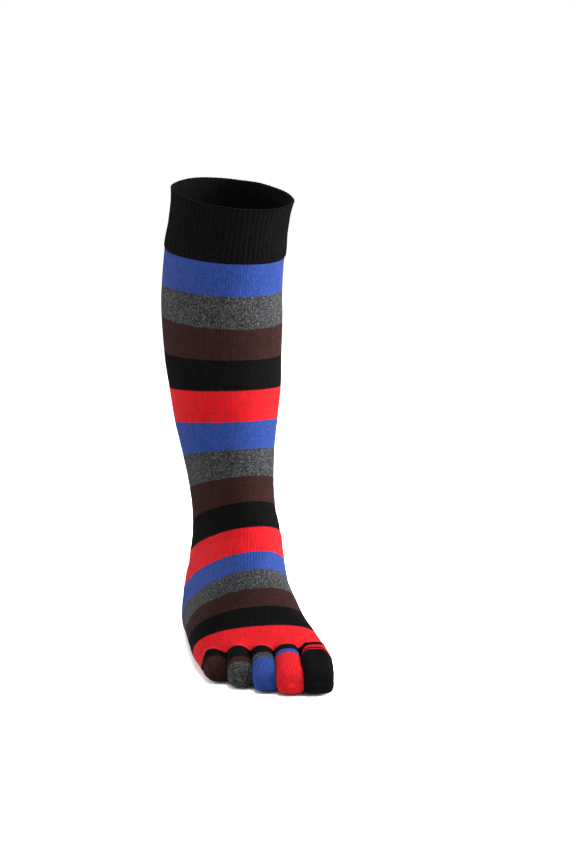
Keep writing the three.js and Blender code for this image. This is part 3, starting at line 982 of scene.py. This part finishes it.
class KnitToeBase(bpy.types.Operator):
    """Knits the black web between the toes and the sleeves at their roots"""
    bl_idname = "toe_sock.toe_base"
    bl_label = "Knit toe base"

    def execute(self, context):
        pieces = [knit_web()]
        for name in TOES:
            toe = toe_named(name)
            start = toe_place(toe, (toe["arc"] - SLEEVE_HIDDEN) * sizes().foot_length)
            end = toe_place(toe, toe["base_end"] * sizes().foot_length)
            pieces.append(knit_toe_tube(f"{name}_sleeve", toe, start, end, starts_hidden=True))
        start_fresh()
        for piece in pieces:
            piece.select_set(True)
        bpy.context.view_layer.objects.active = pieces[0]
        bpy.ops.object.join()
        base = bpy.context.object
        base.name = "knit_toe_base"
        base.data.name = "knit_toe_base"
        finish_piece(base, sock_material("black"), "black_knit", "toe_base_band")
        return {"FINISHED"}


class KnitToes(bpy.types.Operator):
    """Knits the narrow rings and the closed tips of the toes"""
    bl_idname = "toe_sock.toes"
    bl_label = "Knit toes"

    def execute(self, context):
        s = sizes()
        for name in TOES:
            toe = toe_named(name)
            base_end = toe_place(toe, toe["base_end"] * s.foot_length)
            ring_end = toe_place(toe, toe["ring_end"] * s.foot_length)
            if toe["ring_yarn"]:
                ring = knit_toe_tube(f"knit_{name}_toe_ring", toe, base_end, ring_end)
                finish_piece(ring, sock_material(toe["ring_yarn"]), f"{toe['ring_yarn']}_knit",
                             f"{name}_toe_ring")
                if name == STRIPED_RING:
                    stripe_course(ring, sock_material("black"), STRIPED_COURSE)
            tip = knit_toe_tube(f"knit_{name}_toe_tip", toe, ring_end, len(TOE_COURSE_ROWS) - 1)
            finish_piece(tip, sock_material(toe["tip_yarn"]), f"{toe['tip_yarn']}_knit",
                         f"{name}_toe_tip")
        return {"FINISHED"}


class SetStage(bpy.types.Operator):
    """Sets the pale floor, the soft lights and the camera"""
    bl_idname = "toe_sock.stage"
    bl_label = "Set stage"

    def execute(self, context):
        start_fresh()
        bpy.ops.mesh.primitive_plane_add(size=FLOOR_SIZE, location=(0, 0, 0))
        floor = bpy.context.object
        floor.name = "studio_floor"
        floor.data.materials.append(paper_material())

        world = bpy.data.worlds.new("studio")
        world.use_nodes = True
        background = world.node_tree.nodes["Background"]
        background.inputs["Color"].default_value = (1, 1, 1, 1)
        background.inputs["Strength"].default_value = 1.0
        context.scene.world = world
        context.scene.view_settings.view_transform = "Standard"

        for name, place, power in LIGHTS:
            add_light(name, place, power)
        add_camera()
        return {"FINISHED"}


class SockPanel(bpy.types.Panel):
    """Sizes, yarns and steps of the sock"""
    bl_idname = "VIEW3D_PT_toe_sock"
    bl_label = "Toe Sock"
    bl_space_type = "VIEW_3D"
    bl_region_type = "UI"
    bl_category = "Toe Sock"

    def draw(self, context):
        layout = self.layout
        for group in (context.scene.sock_sizes, context.scene.sock_yarns):
            box = layout.box()
            for key in group.bl_rna.properties.keys():
                if key not in ("rna_type", "name"):
                    box.prop(group, key)
        for step in STEPS:
            layout.operator(step.bl_idname)


STEPS = (KnitCuff, KnitBands, KnitToeBase, KnitToes, SetStage)
CLASSES = (SockSizes, SockYarns) + STEPS + (SockPanel,)


def register():
    for each in CLASSES:
        bpy.utils.register_class(each)
    bpy.types.Scene.sock_sizes = bpy.props.PointerProperty(type=SockSizes)
    bpy.types.Scene.sock_yarns = bpy.props.PointerProperty(type=SockYarns)


def unregister():
    del bpy.types.Scene.sock_yarns
    del bpy.types.Scene.sock_sizes
    for each in reversed(CLASSES):
        bpy.utils.unregister_class(each)


def main():
    register()
    bpy.ops.toe_sock.cuff()
    bpy.ops.toe_sock.bands()
    bpy.ops.toe_sock.toe_base()
    bpy.ops.toe_sock.toes()
    bpy.ops.toe_sock.stage()


if __name__ == "__main__":
    main()
